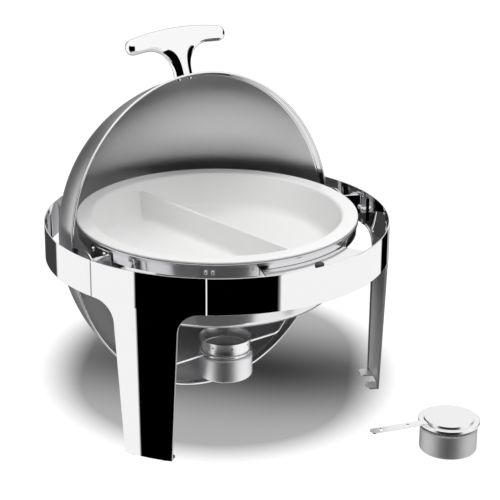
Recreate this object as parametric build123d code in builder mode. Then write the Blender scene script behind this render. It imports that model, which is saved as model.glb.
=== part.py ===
"""Roll top chafer: a round food warmer on a three-legged stand, with a dome that
rolls back round the pans, a divided food pan, a water pan, a spirit burner in a
wire cradle, and a second fuel holder that stands beside it.

Millimetres, +Z up, the front is -Y. Everything is drawn about the axis of the
stand, with the table at zero height, and the set is centred on the origin when
it is written.
"""
from build123d import *
from math import cos, degrees, radians, sin, sqrt
import os

# ---- stand: a ring of sheet on three legs ----
ring_radius = 235.0
ring_top = 260.0
ring_height = 49.0
sheet = 1.5
edge_rounding = 0.6
front_leg_angle = 60.0
back_leg_angle = 180.0
leg_seam_angle = 19.65
leg_width_top = 91.0
leg_width_foot = 66.5
foot_lean = 6.0
flare_radius = 29.0
leg_return = 3.0
foot_tab_length = 17.0
foot_tab_width = 22.0
foot_notch = 22.0
foot_corner = 6.0
pad_radius = 7.0
pad_thickness = 1.5
seam_gap = 0.4
seat_gap = 0.05
cut_reach = 12.0
overrun = 5.0
match_tolerance = 0.1
edge_margin = 1.0

# ---- joints of the ring: splice plates, weld studs and cap nuts ----
splice_width = 26.0
splice_height = 34.0
splice_sheet = 1.6
stud_radius = 2.0
stud_spacing = 13.0
stud_length = 5.0
stud_clearance = 0.1
nut_across_flats = 7.0
nut_hex_height = 3.0
nut_dome_height = 2.6
nut_dome_step = 0.1
nut_crown_flat = 0.4

# ---- pivots of the lid ----
pivot_drop = 24.0
bolt_radius = 4.0
bolt_head_radius = 6.5
bolt_head_height = 3.2
running_clearance = 0.05
spacer_radius = 7.5
end_play = 0.35
bush_radius = 6.0
bush_flange_radius = 9.0
bush_flange = 1.0
bush_gap = 0.1
washer_radius = 8.5
washer_thickness = 1.2
pivot_nut_flats = 13.0
pivot_nut_hex = 4.0
pivot_nut_dome = 3.6
bolt_reach = 2.6

# ---- lid ----
lid_gap = 19.0
lid_sheet = 1.2
lid_rim_above_pivot = 21.3
lid_lip = 2.6
lid_lip_height = 2.0
lid_lip_flare = 8.0
lid_open_angle = 98.0
lid_lip_step = 1.0
ear_corner = 9.0
ear_width = 40.0
ear_sheet = 2.0
ear_overlap = 27.0

# ---- lid handle: a cast T ----
handle_elevation = 12.5
handle_stem_width = 28.0
handle_bar_top = 69.0
handle_bar_end = 50.0
handle_bar_half = 81.0
handle_bar_thickness = 20.5
handle_depth = 20.0
handle_throat = 34.0
handle_edge = 9.0
handle_end_flat = 0.9
handle_throat_rise = 5.0
handle_root = 12.0
handle_screw_spacing = 18.0
handle_screw_radius = 2.0
handle_screw_depth = 12.0
handle_screw_head = 3.6
handle_screw_head_height = 2.2
handle_screw_head_gap = 0.45
handle_screw_spare = 0.3

# ---- pans ----
pan_gap = 24.0
pan_rise = 5.6
pan_rim_thickness = 3.7
pan_rim_width = 22.0
pan_taper = 12.0
pan_depth = 50.0
pan_wall = 3.7
pan_corner = 14.0
pan_rim_rounding = 1.7
pan_throat = 4.0
divider_top_width = 4.4
divider_foot_width = 9.0
divider_drop = 12.6
divider_turn = 3.9
divider_fillet = 9.0
divider_root = 1.0
water_flange_overhang = 0.2
water_flange_lip = 4.4
water_sheet = 1.2
water_mouth_inset = 4.8
water_taper = 24.4
water_depth = 101.6
water_corner = 12.0
lift_gap = 0.3

# ---- carrier of the pans ----
carrier_clearance = 0.9
carrier_sheet = 2.0
carrier_depth = 16.3
bracket_sheet = 2.5
bracket_front = -26.0
bracket_back = 18.0
bracket_top_drop = 5.0
bracket_depth = 31.0
bracket_lobe = 7.0
bracket_gap = 0.2
arm_depth = 28.0
rivet_radius = 2.0
rivet_head_radius = 3.6
rivet_head_height = 1.8
rivet_tail_radius = 3.0
rivet_tail_height = 0.9
rivet_slack = 0.5
rivet_spacing = 26.0
rivet_drop = 9.5
ledge_half_angle = 20.5
ledge_sheet = 2.0
ledge_below_lip = 3.3
ledge_ring_flange = 20.0
ledge_stud_angle = 14.0
ledge_rivet_angle = 15.0
ledge_stud_drop = 12.0
bumper_radius = 6.0
bumper_stem_radius = 2.5
bumper_stem_reach = 1.0
bumper_chamfer = 0.8
stop_pin_radius = 3.0
stop_pin_offset = 14.0
stop_pin_short = 1.0

# ---- burner in its wire cradle ----
burner_offset = -20.0
burner_floor = 32.0
cup_shoulder = 4.5
cup_height = 33.5
cup_sheet = 1.0
cup_corner = 3.0
neck_radius = 33.0
neck_height = 7.0
neck_lip = 1.2
wick_clearance = 0.3
wick_height = 24.0
wick_edge = 2.0
collar_height = 16.5
collar_flare = 2.6
collar_hollow = 0.6
collar_vents = 8
collar_vent_radius = 1.5
cradle_wire = 1.75
cradle_above_cup = 1.6
cradle_arm_bend = 92.0
cradle_knee_inset = 24.1
cradle_knee_height = 160.0
cradle_upright_below = 10.0
cradle_upright_top = 247.0
cradle_bend_radii = (14.0, 25.0, 12.0)

# ---- fuel holder beside the stand, with its snuffer cover ----
holder_x = 135.0
holder_y = -325.0
cover_overhang = 2.5
cover_raised_margin = 1.8
cover_step = 0.8
cover_raised = 3.0
cover_sheet = 1.0
cover_skirt = 5.0
cover_skirt_gap = 0.6
cover_hem = 2.5
strip_azimuth = -106.4
strip_width = 12.5
strip_thickness = 1.5
strip_reach = 113.0
strip_gap = 0.6
strip_hole_reach = 60.0
strip_hole_radius = 2.7
strip_slot_reach = 98.0
strip_slot_width = 4.5
strip_slot_length = 8.5

# ---- sizes that follow ----
ring_bottom = ring_top - ring_height
ring_inner = ring_radius - sheet
ring_seat = ring_inner - seat_gap
foot_radius = ring_radius - foot_lean
pivot_height = ring_top - pivot_drop
lid_radius = ring_radius - lid_gap
lid_lip_radius = lid_radius + lid_lip
pan_rim_radius = lid_radius - pan_gap
pan_rim_top = ring_top + pan_rise
pan_well_radius = pan_rim_radius - pan_rim_width
pan_floor_radius = pan_well_radius - pan_taper
water_flange_radius = pan_rim_radius + water_flange_overhang
water_mouth_radius = water_flange_radius - water_mouth_inset
water_floor_radius = water_mouth_radius - water_taper
water_flange_top = pan_rim_top - pan_rim_thickness - lift_gap
water_flange_under = water_flange_top - water_sheet
water_floor_height = water_flange_top - water_depth
carrier_top = water_flange_under - lift_gap
carrier_inner_radius = water_mouth_radius + carrier_clearance
carrier_outer_radius = carrier_inner_radius + carrier_sheet
bracket_top = carrier_top - bracket_top_drop
bracket_outer = carrier_outer_radius + bracket_sheet
rivet_height = carrier_top - rivet_drop
lid_inner_radius = lid_radius - lid_sheet
ear_outer_radius = lid_inner_radius - seat_gap
ear_inner_radius = ear_outer_radius - ear_sheet
spacer_end = ear_inner_radius - end_play
lid_rest_height = pivot_height + lid_rim_above_pivot
ledge_top = lid_rest_height - ledge_below_lip
bumper_ring = (lid_radius + lid_lip_radius) / 2 - 1.0
ledge_rivet_height = ledge_top - ledge_sheet - rivet_head_radius - 0.6
cup_top = cup_height + neck_height
cup_radius = neck_radius + cup_shoulder
collar_mouth_radius = neck_radius + neck_lip + collar_flare
cover_radius = cup_radius + cover_overhang
skirt_radius = neck_radius - cup_sheet - cover_skirt_gap
cover_raised_radius = skirt_radius + cover_raised_margin
strip_start = cover_raised_radius + strip_gap
set_middle = (ring_radius + holder_y - cover_radius) / 2


def radial(azimuth):
    """Unit vector out from the axis, azimuth in degrees from the front towards +X."""
    return Vector(sin(radians(azimuth)), -cos(radians(azimuth)), 0)


def section_plane(azimuth):
    """Upright plane through the axis: x is the radius, y is the height."""
    outward = radial(azimuth)
    return Plane(origin=(0, 0, 0), x_dir=outward, z_dir=outward.cross(Vector(0, 0, 1)))


def face_plane(azimuth, radius=0.0, height=0.0):
    """Upright plane facing outward: x runs along the ring, y is the height."""
    outward = radial(azimuth)
    along = Vector(0, 0, 1).cross(outward)
    return Plane(origin=outward * radius + Vector(0, 0, height), x_dir=along, z_dir=outward)


def floor_plane(azimuth, height):
    """Level plane: x is the radius at this azimuth, y runs along the ring."""
    return Plane(origin=(0, 0, height), x_dir=radial(azimuth), z_dir=(0, 0, 1))


def opened(vector):
    """A vector of the closed lid, turned back to the open lid."""
    return Vector(*vector).rotate(Axis.X, -lid_open_angle)


def lid_plane(origin=(0, 0, 0), x_dir=(1, 0, 0), z_dir=(0, 0, 1)):
    """A plane given on the closed lid, from the middle of its pivots."""
    centre = opened(origin) + Vector(0, 0, pivot_height)
    return Plane(origin=centre, x_dir=opened(x_dir), z_dir=opened(z_dir))


def arc_strip(azimuth, half_angle, inner, outer, bottom, top):
    """A strip of sheet bent round the axis, as a part."""
    with BuildPart() as strip:
        with BuildSketch(section_plane(azimuth - half_angle)):
            with Locations(((inner + outer) / 2, (bottom + top) / 2)):
                Rectangle(outer - inner, top - bottom)
        revolve(axis=Axis.Z, revolution_arc=2 * half_angle)
    return strip.part


def cap_nut(plane, flats, hex_height, dome_height, bore, bore_depth):
    """A domed nut standing on a plane, with a blind bore, as a part."""
    with BuildPart() as nut:
        with BuildSketch(plane):
            RegularPolygon(flats / 2, 6, major_radius=False)
        extrude(amount=hex_height)
        with BuildSketch(plane.offset(hex_height)):
            Circle(flats / 2 - nut_dome_step)
        extrude(amount=dome_height)
        fillet(faces().sort_by(Axis(plane.origin, plane.z_dir))[-1].edges(), dome_height - nut_crown_flat)
        with BuildSketch(plane):
            Circle(bore)
        extrude(amount=bore_depth, mode=Mode.SUBTRACT)
    return nut.part


# ================= stand =================

def leg_outline(inset, side_overlap, top_overlap):
    """Symmetric outline of a leg seen from outside: ring piece above, tapered leg below."""
    seam = ring_radius * sin(radians(leg_seam_angle)) + side_overlap
    top_half = leg_width_top / 2 - inset
    foot_half = leg_width_foot / 2 - inset
    shoulder = ring_bottom + inset
    below = -1.0
    with BuildSketch() as outline:
        with BuildLine():
            Polyline(
                (seam, ring_top + top_overlap), (seam, shoulder), (top_half, shoulder),
                (foot_half, below), (-foot_half, below), (-top_half, shoulder),
                (-seam, shoulder), (-seam, ring_top + top_overlap), close=True,
            )
        make_face()
        corners = [v for v in vertices() if abs(abs(v.X) - top_half) < 0.01 and v.Y > 0]
        fillet(corners, flare_radius + inset)
    return outline.sketch


def leg_wall(azimuth, inset, depth, lowest, outline):
    """The leg's wall turned round the axis, from its face to a depth, inside an outline."""
    outer = ring_radius - inset
    foot = foot_radius - inset
    with BuildPart() as wall:
        with BuildSketch(section_plane(azimuth - leg_seam_angle)):
            with BuildLine():
                Polyline(
                    (outer, ring_top), (outer, ring_bottom), (foot, lowest),
                    (foot - depth, lowest), (outer - depth, ring_bottom), (outer - depth, ring_top),
                    close=True,
                )
            make_face()
        revolve(axis=Axis.Z, revolution_arc=2 * leg_seam_angle)
        extrude(face_plane(azimuth) * outline, amount=ring_radius + 1, mode=Mode.INTERSECT)
    return wall.part


def make_leg(azimuth):
    """One leg with its piece of the ring, its returned edges and its two foot tabs."""
    whole = leg_wall(azimuth, 0.0, leg_return, pad_thickness, leg_outline(0.0, overrun, overrun))
    core = leg_wall(azimuth, sheet, 2 * leg_return, 0.0, leg_outline(sheet, overrun, overrun))
    with BuildPart() as leg:
        add(whole)
        add(core, mode=Mode.SUBTRACT)
        for side in (-1, 1):
            tab_middle = side * (foot_notch + foot_tab_width) / 2
            with BuildSketch(floor_plane(azimuth, pad_thickness)):
                with Locations((foot_radius - sheet - foot_tab_length, tab_middle)):
                    Rectangle(2 * foot_tab_length, foot_tab_width, align=(Align.MIN, Align.CENTER))
                Circle(foot_radius - sheet / 2, mode=Mode.INTERSECT)
                fillet(vertices().sort_by(Axis.X)[:2], foot_corner)
            extrude(amount=sheet)
    return leg.part


def make_band(azimuth, half_angle):
    """One plain arc of the ring, with rounded top edges."""
    trimmed = half_angle - degrees(seam_gap / ring_radius)
    with BuildPart() as band:
        with BuildSketch(section_plane(azimuth - trimmed)):
            with Locations((ring_radius - sheet / 2, ring_top - ring_height / 2)):
                Rectangle(sheet, ring_height)
            fillet(vertices().group_by(Axis.Y)[-1], edge_rounding)
        revolve(axis=Axis.Z, revolution_arc=2 * trimmed)
    return band.part


leg_azimuths = {
    "leg_front_left": -front_leg_angle, "leg_front_right": front_leg_angle, "leg_back": back_leg_angle,
}
legs = {name: make_leg(azimuth) for name, azimuth in leg_azimuths.items()}

front_seam = front_leg_angle - leg_seam_angle
bracket_seam = front_leg_angle + leg_seam_angle
back_seam = back_leg_angle - leg_seam_angle
side_band_half = (back_seam - bracket_seam) / 2
side_band_azimuth = (back_seam + bracket_seam) / 2
bands = {
    "band_front": make_band(0.0, front_seam),
    "band_left": make_band(-side_band_azimuth, side_band_half),
    "band_right": make_band(side_band_azimuth, side_band_half),
}

plain_seams = (-front_seam, front_seam, back_seam, -back_seam)
stud_angle = degrees(stud_spacing / 2 / ring_inner)
splice_half = degrees(splice_width / 2 / ring_inner)
splice_middle = ring_top - ring_height / 2
plain_studs = [seam + side * stud_angle for seam in plain_seams for side in (-1, 1)]
bracket_studs = [
    seam + side * stud_angle for seam in (-bracket_seam, bracket_seam) for side in (-1, 1)
]
ledge_studs = [-ledge_stud_angle, ledge_stud_angle]
ledge_stud_height = ledge_top - ledge_stud_drop
stud_places = [(azimuth, splice_middle, splice_sheet) for azimuth in plain_studs]
stud_places += [(azimuth, splice_middle, bracket_sheet) for azimuth in bracket_studs]
stud_places += [(azimuth, ledge_stud_height, ledge_sheet) for azimuth in ledge_studs]


def stud_holes(azimuths, height):
    """What is cut from a plate inside the ring so that its weld studs pass, as a part."""
    with BuildPart() as holes:
        for azimuth in azimuths:
            with BuildSketch(face_plane(azimuth, ring_inner - cut_reach, height)):
                Circle(stud_radius + stud_clearance)
            extrude(amount=cut_reach)
    return holes.part


with BuildPart() as splice_plates:
    for seam in plain_seams:
        add(arc_strip(seam, splice_half, ring_seat - splice_sheet, ring_seat,
                      splice_middle - splice_height / 2, splice_middle + splice_height / 2))
    add(stud_holes(plain_studs, splice_middle), mode=Mode.SUBTRACT)

with BuildPart() as ring_studs:
    for azimuth, height, plate in stud_places:
        with BuildSketch(face_plane(azimuth, ring_seat, height)):
            Circle(stud_radius)
        extrude(amount=-(seat_gap + plate + stud_length))

with BuildPart() as ring_nuts:
    for azimuth, height, plate in stud_places:
        seat = face_plane(azimuth, ring_seat - plate - seat_gap * 2, height)
        inward = Plane(origin=seat.origin, x_dir=seat.x_dir, z_dir=seat.z_dir * -1)
        add(cap_nut(inward, nut_across_flats, nut_hex_height, nut_dome_height,
                    stud_radius + stud_clearance, stud_length + stud_clearance))

with BuildPart() as foot_pads:
    for azimuth in leg_azimuths.values():
        with BuildSketch(floor_plane(azimuth, 0)):
            with Locations(*[(foot_radius - sheet - foot_tab_length / 2,
                              side * (foot_notch + foot_tab_width) / 2) for side in (-1, 1)]):
                Circle(pad_radius)
        extrude(amount=pad_thickness)

# ================= carrier, brackets and ledge =================

with BuildPart() as pan_carrier:
    with BuildSketch(Plane.XY.offset(carrier_top - carrier_depth)):
        Circle(carrier_outer_radius)
        Circle(carrier_inner_radius, mode=Mode.SUBTRACT)
    extrude(amount=carrier_depth)
    with BuildSketch(Plane.YZ.offset(-ring_radius)):
        with Locations(*[(side * rivet_spacing / 2, rivet_height) for side in (-1, 1)]):
            Circle(rivet_radius + seat_gap)
    extrude(amount=2 * ring_radius, mode=Mode.SUBTRACT)
    for side in (-1, 1):
        with BuildSketch(face_plane(side * ledge_rivet_angle, 0, ledge_rivet_height)):
            Circle(rivet_radius + seat_gap)
        extrude(amount=ring_radius, mode=Mode.SUBTRACT)


stop_pin_place = opened((0, ear_width / 2 + stop_pin_radius + lift_gap, stop_pin_offset))


def make_pivot_bracket(side):
    """Inner plate for the pivot, slanted arm, and a curved foot over a seam of the ring."""
    plate_plane = Plane(
        origin=(side * carrier_outer_radius, 0, 0), x_dir=(0, 1, 0), z_dir=(1, 0, 0)
    )
    plate_near = side * (carrier_outer_radius + bracket_gap)
    plate_far = side * bracket_outer
    arm_end = radial(side * bracket_seam) * (ring_inner - bracket_sheet)
    arm_width = bracket_sheet * 1.1
    with BuildPart() as bracket:
        with BuildSketch(plate_plane):
            with Locations((bracket_front, bracket_top)):
                Rectangle(bracket_back - bracket_front, bracket_depth, align=(Align.MIN, Align.MAX))
            with Locations((stop_pin_place.Y, pivot_height + stop_pin_place.Z)):
                Circle(bracket_lobe)
            make_hull()
        extrude(amount=side * bracket_sheet)
        with BuildSketch(Plane.XY.offset(bracket_top - arm_depth)):
            with BuildLine():
                Polyline(
                    (plate_near, bracket_front + arm_width), (plate_near, bracket_front),
                    (arm_end.X, arm_end.Y - arm_width / 2), (arm_end.X, arm_end.Y + arm_width / 2),
                    (plate_far, bracket_front + arm_width), close=True,
                )
            make_face()
        extrude(amount=arm_depth)
        add(arc_strip(side * bracket_seam, splice_half, ring_seat - bracket_sheet, ring_seat,
                      splice_middle - splice_height / 2, splice_middle + splice_height / 2))
        studs = [side * bracket_seam + step * stud_angle for step in (-1, 1)]
        add(stud_holes(studs, splice_middle), mode=Mode.SUBTRACT)
        with BuildSketch(plate_plane):
            with Locations((0, pivot_height)):
                Circle(bolt_radius + seat_gap)
            with Locations(*[(step * rivet_spacing / 2, rivet_height) for step in (-1, 1)]):
                Circle(rivet_radius + seat_gap)
        extrude(amount=side * bracket_sheet, mode=Mode.SUBTRACT)
    return bracket.part


pivot_brackets = {
    "pivot_bracket_left": make_pivot_bracket(-1),
    "pivot_bracket_right": make_pivot_bracket(1),
}

ledge_inner = carrier_outer_radius + seat_gap
with BuildPart() as front_ledge:
    with BuildSketch(section_plane(-ledge_half_angle)):
        with BuildLine():
            Polyline(
                (ledge_inner, carrier_top - carrier_depth), (ledge_inner, ledge_top),
                (ring_seat, ledge_top), (ring_seat, ledge_top - ledge_ring_flange),
                (ring_seat - ledge_sheet, ledge_top - ledge_ring_flange),
                (ring_seat - ledge_sheet, ledge_top - ledge_sheet),
                (ledge_inner + ledge_sheet, ledge_top - ledge_sheet),
                (ledge_inner + ledge_sheet, carrier_top - carrier_depth), close=True,
            )
        make_face()
    revolve(axis=Axis.Z, revolution_arc=2 * ledge_half_angle)
    add(stud_holes(ledge_studs, ledge_stud_height), mode=Mode.SUBTRACT)
    for side in (-1, 1):
        hole_plane = face_plane(side * ledge_rivet_angle, carrier_inner_radius, ledge_rivet_height)
        with BuildSketch(hole_plane):
            Circle(rivet_radius + seat_gap)
        extrude(amount=carrier_sheet + 2 * ledge_sheet, mode=Mode.SUBTRACT)
    with BuildSketch(floor_plane(0, ledge_top - ledge_sheet)):
        with Locations((bumper_ring, 0)):
            Circle(bumper_stem_radius + seat_gap)
    extrude(amount=ledge_sheet, mode=Mode.SUBTRACT)

with BuildPart() as lid_bumper:
    with BuildSketch(floor_plane(0, ledge_top)):
        with Locations((bumper_ring, 0)):
            Circle(bumper_radius)
    extrude(amount=ledge_below_lip - lift_gap)
    chamfer(faces().sort_by(Axis.Z)[-1].edges(), bumper_chamfer)
    with BuildSketch(floor_plane(0, ledge_top)):
        with Locations((bumper_ring, 0)):
            Circle(bumper_stem_radius)
    extrude(amount=-ledge_sheet - bumper_stem_reach)

# rivets of the carrier: place of the outer face of what they hold, and the grip
rivet_places = []
for side in (-1, 1):
    for step in (-1, 1):
        foot = Plane(origin=(side * bracket_outer, step * rivet_spacing / 2, rivet_height),
                     x_dir=(0, 1, 0), z_dir=(side, 0, 0))
        grip = bracket_outer - sqrt(carrier_inner_radius ** 2 - (rivet_spacing / 2) ** 2)
        rivet_places.append((foot, grip + rivet_slack))
    ledge_face = face_plane(side * ledge_rivet_angle, ledge_inner + ledge_sheet, ledge_rivet_height)
    rivet_places.append((ledge_face, ledge_sheet + carrier_sheet + 4 * seat_gap))

with BuildPart() as carrier_rivets:
    for foot, grip in rivet_places:
        with BuildSketch(foot):
            Circle(rivet_head_radius)
        extrude(amount=rivet_head_height, taper=30)
        with BuildSketch(foot):
            Circle(rivet_radius)
        extrude(amount=-(grip + rivet_tail_height))
        with BuildSketch(foot.offset(-grip)):
            Circle(rivet_tail_radius)
        extrude(amount=-rivet_tail_height)

# ================= pivots =================


def on_pivot(side, reach):
    """A plane on the pivot axis at a distance from the middle, facing outward."""
    return Plane(origin=(side * reach, 0, pivot_height), x_dir=(0, 1, 0), z_dir=(side, 0, 0))


bush_end = ear_outer_radius + bush_gap + bush_flange
washer_face = bush_end + end_play
nut_face = washer_face + washer_thickness

with BuildPart() as pivot_bolts:
    for side in (-1, 1):
        with BuildSketch(on_pivot(side, carrier_outer_radius)):
            Circle(bolt_head_radius)
        extrude(amount=-bolt_head_height)
        with BuildSketch(on_pivot(side, carrier_outer_radius)):
            Circle(bolt_radius)
        extrude(amount=nut_face + bolt_reach - carrier_outer_radius)

with BuildPart() as pivot_spacers:
    for side in (-1, 1):
        with BuildSketch(on_pivot(side, bracket_outer)):
            Circle(spacer_radius)
            Circle(bolt_radius + running_clearance, mode=Mode.SUBTRACT)
        extrude(amount=spacer_end - bracket_outer)

with BuildPart() as pivot_bushes:
    for side in (-1, 1):
        with BuildSketch(on_pivot(side, ear_inner_radius)):
            Circle(bush_radius - seat_gap)
        extrude(amount=bush_end - ear_inner_radius)
        with BuildSketch(on_pivot(side, bush_end - bush_flange)):
            Circle(bush_flange_radius)
        extrude(amount=bush_flange)
        with BuildSketch(on_pivot(side, ear_inner_radius)):
            Circle(bolt_radius + running_clearance)
        extrude(amount=bush_end - ear_inner_radius, mode=Mode.SUBTRACT)

with BuildPart() as pivot_washers:
    for side in (-1, 1):
        with BuildSketch(on_pivot(side, washer_face)):
            Circle(washer_radius)
            Circle(bolt_radius + running_clearance, mode=Mode.SUBTRACT)
        extrude(amount=washer_thickness)

with BuildPart() as pivot_nuts:
    for side in (-1, 1):
        add(cap_nut(on_pivot(side, nut_face), pivot_nut_flats, pivot_nut_hex, pivot_nut_dome,
                    bolt_radius + running_clearance, bolt_reach + seat_gap))

with BuildPart() as stop_pins:
    for side in (-1, 1):
        pin_plane = Plane(
            origin=(side * bracket_outer, stop_pin_place.Y, pivot_height + stop_pin_place.Z),
            x_dir=(0, 1, 0), z_dir=(side, 0, 0),
        )
        with BuildSketch(pin_plane):
            Circle(stop_pin_radius)
        extrude(amount=ear_outer_radius - stop_pin_short - bracket_outer)

# ================= lid =================

lid_axis = Axis(origin=(0, 0, pivot_height), direction=tuple(opened((0, 0, 1))))
lid_section = lid_plane(x_dir=(1, 0, 0), z_dir=(0, -1, 0))


def sphere_point(radius, height):
    """The point of a sphere's section at a height over its centre."""
    return (sqrt(radius ** 2 - height ** 2), height)


lip_top = lid_rim_above_pivot + lid_lip_height
flare_top = lid_rim_above_pivot + lid_lip_flare
with BuildPart() as lid_dome:
    with BuildSketch(lid_section):
        with BuildLine():
            outer_arc = ThreePointArc(
                (0, lid_radius), (lid_radius * sin(radians(45)), lid_radius * cos(radians(45))),
                sphere_point(lid_radius, flare_top),
            )
            outer_flare = Line(outer_arc @ 1, (lid_lip_radius, lip_top))
            lip = Polyline(
                outer_flare @ 1, (lid_lip_radius, lid_rim_above_pivot),
                (lid_lip_radius - 2 * lid_sheet, lid_rim_above_pivot),
                sphere_point(lid_inner_radius, flare_top + lid_lip_step),
            )
            ThreePointArc(
                lip @ 1,
                (lid_inner_radius * sin(radians(45)), lid_inner_radius * cos(radians(45))),
                (0, lid_inner_radius),
            )
            Line((0, lid_inner_radius), (0, lid_radius))
        make_face()
    revolve(axis=lid_axis)
    for side in (-1, 1):
        screw_plane = lid_plane(
            x_dir=(1, 0, 0), z_dir=(0, -cos(radians(handle_elevation)), sin(radians(handle_elevation)))
        )
        with BuildSketch(screw_plane):
            with Locations((side * handle_screw_spacing / 2, 0)):
                Circle(handle_screw_radius + stud_clearance)
        extrude(amount=lid_radius + cut_reach, mode=Mode.SUBTRACT)


def make_ear(side):
    """A rounded ear of the lid, curved like the dome and welded inside its rim."""
    with BuildPart() as ear:
        with BuildSketch(lid_plane(x_dir=(0, 1, 0), z_dir=(1, 0, 0))):
            Circle(ear_width / 2)
            Rectangle(ear_width, lid_rim_above_pivot + ear_overlap, align=(Align.CENTER, Align.MIN))
            fillet(vertices().group_by(Axis.Y)[-1], ear_corner)
        extrude(amount=side * lid_radius)
        with BuildSketch(lid_section):
            Circle(ear_outer_radius)
            Circle(ear_inner_radius, mode=Mode.SUBTRACT)
            Rectangle(lid_radius, 2 * lid_radius, align=(Align.MIN, Align.CENTER), mode=Mode.INTERSECT)
        revolve(axis=lid_axis, mode=Mode.INTERSECT)
        with BuildSketch(on_pivot(side, 0)):
            Circle(bush_radius)
        extrude(amount=lid_radius, mode=Mode.SUBTRACT)
    return ear.part


lid_ears = {"lid_ear_left": make_ear(-1), "lid_ear_right": make_ear(1)}

handle_out = (0, -cos(radians(handle_elevation)), sin(radians(handle_elevation)))
handle_side = (0, sin(radians(handle_elevation)), cos(radians(handle_elevation)))
handle_section = lid_plane(x_dir=(1, 0, 0), z_dir=tuple(Vector(1, 0, 0).cross(Vector(*handle_out))))
bar_under = lid_radius + handle_bar_end - handle_bar_thickness / 2
bar_over = lid_radius + handle_bar_end + handle_bar_thickness / 2
throat_height = bar_under + handle_throat_rise
stem_half = handle_stem_width / 2
stem_foot = lid_radius - handle_root
with BuildPart() as lid_handle:
    with BuildSketch(handle_section):
        with BuildLine():
            ThreePointArc((-handle_bar_half, bar_over), (0, lid_radius + handle_bar_top),
                          (handle_bar_half, bar_over))
            for side in (-1, 1):
                Polyline((side * handle_bar_half, bar_over), (side * handle_bar_half, bar_under),
                         (side * stem_half, throat_height), (side * stem_half, stem_foot))
            Line((-stem_half, stem_foot), (stem_half, stem_foot))
        make_face()
        fillet([v for v in vertices() if abs(v.Y - throat_height) < 0.01], handle_throat)
        bar_corners = [v for v in vertices() if abs(abs(v.X) - handle_bar_half) < 0.01]
        fillet(bar_corners, handle_bar_thickness / 2 - handle_end_flat)
    extrude(amount=handle_depth / 2, both=True)
    long_edges = [
        edge for edge in edges()
        if abs(handle_section.to_local_coords(edge.center()).Z) > handle_depth / 2 - match_tolerance
        and handle_section.to_local_coords(edge.center()).Y > stem_foot + edge_margin
    ]
    fillet(long_edges, handle_edge)
    with BuildSketch(lid_section):
        Circle(lid_radius + seat_gap)
        Rectangle(lid_radius + cut_reach, 2 * (lid_radius + cut_reach), align=(Align.MIN, Align.CENTER),
                  mode=Mode.INTERSECT)
    revolve(axis=lid_axis, mode=Mode.SUBTRACT)
    with BuildSketch(screw_plane.offset(stem_foot)):
        with Locations(*[(side * handle_screw_spacing / 2, 0) for side in (-1, 1)]):
            Circle(handle_screw_radius + seat_gap)
    extrude(amount=handle_root + handle_screw_depth + handle_screw_spare, mode=Mode.SUBTRACT)

with BuildPart() as handle_screws:
    head_seat = lid_inner_radius - handle_screw_head_gap
    for side in (-1, 1):
        with BuildSketch(screw_plane.offset(head_seat)):
            with Locations((side * handle_screw_spacing / 2, 0)):
                Circle(handle_screw_head)
        extrude(amount=-handle_screw_head_height, taper=12)
        with BuildSketch(screw_plane.offset(head_seat)):
            with Locations((side * handle_screw_spacing / 2, 0)):
                Circle(handle_screw_radius)
        extrude(amount=lid_radius - head_seat + handle_screw_depth)

# ================= pans =================

pan_floor_top = pan_rim_top - pan_depth
pan_rim_under = pan_rim_top - pan_rim_thickness
divider_top = pan_rim_top - divider_drop


def well_radius(height):
    """Radius of the inside wall of the food pan at a height."""
    share = (height - pan_floor_top) / pan_depth
    return pan_floor_radius + (pan_well_radius - pan_floor_radius) * share


with BuildPart() as divider_space:
    with BuildSketch(section_plane(90)):
        with BuildLine():
            Polyline(
                (0, pan_floor_top - pan_wall / 2), (well_radius(pan_floor_top) + 1, pan_floor_top),
                (well_radius(divider_top) + pan_wall / 2, divider_top), (0, divider_top), close=True,
            )
        make_face()
    revolve(axis=Axis.Z)

divider_along = radial(divider_turn)
divider_plane = Plane(origin=(0, 0, 0), x_dir=Vector(0, 0, 1).cross(divider_along), z_dir=divider_along)
with BuildPart() as divider:
    with BuildSketch(divider_plane):
        foot_half = divider_foot_width / 2
        with BuildLine():
            Polyline(
                (-foot_half - 2 * divider_fillet, pan_floor_top - divider_root),
                (-foot_half - 2 * divider_fillet, pan_floor_top),
                (-foot_half, pan_floor_top), (-divider_top_width / 2, divider_top),
                (divider_top_width / 2, divider_top), (foot_half, pan_floor_top),
                (foot_half + 2 * divider_fillet, pan_floor_top),
                (foot_half + 2 * divider_fillet, pan_floor_top - divider_root), close=True,
            )
        make_face()
        fillet([v for v in vertices() if abs(abs(v.X) - foot_half) < 0.01], divider_fillet)
        fillet([v for v in vertices() if abs(v.Y - divider_top) < 0.01], divider_top_width * 0.45)
    extrude(amount=pan_rim_radius, both=True)
    add(divider_space.part, mode=Mode.INTERSECT)

with BuildPart() as food_pan:
    with BuildSketch(section_plane(90)):
        with BuildLine():
            Polyline(
                (0, pan_floor_top), (pan_floor_radius, pan_floor_top), (pan_well_radius, pan_rim_top),
                (pan_rim_radius, pan_rim_top), (pan_rim_radius, pan_rim_under),
                (pan_well_radius + pan_wall, pan_rim_under),
                (pan_floor_radius + pan_wall, pan_floor_top - pan_wall),
                (0, pan_floor_top - pan_wall), close=True,
            )
        make_face()
        fillet([v for v in vertices() if abs(v.X - pan_floor_radius) < 0.01], pan_corner)
        fillet([v for v in vertices() if abs(v.X - pan_floor_radius - pan_wall) < 0.01],
               pan_corner + pan_wall)
        fillet([v for v in vertices() if abs(v.X - pan_well_radius) < 0.01], pan_throat)
        fillet([v for v in vertices() if abs(v.X - pan_rim_radius) < 0.01], pan_rim_rounding)
    revolve(axis=Axis.Z)
    add(divider.part)

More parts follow.
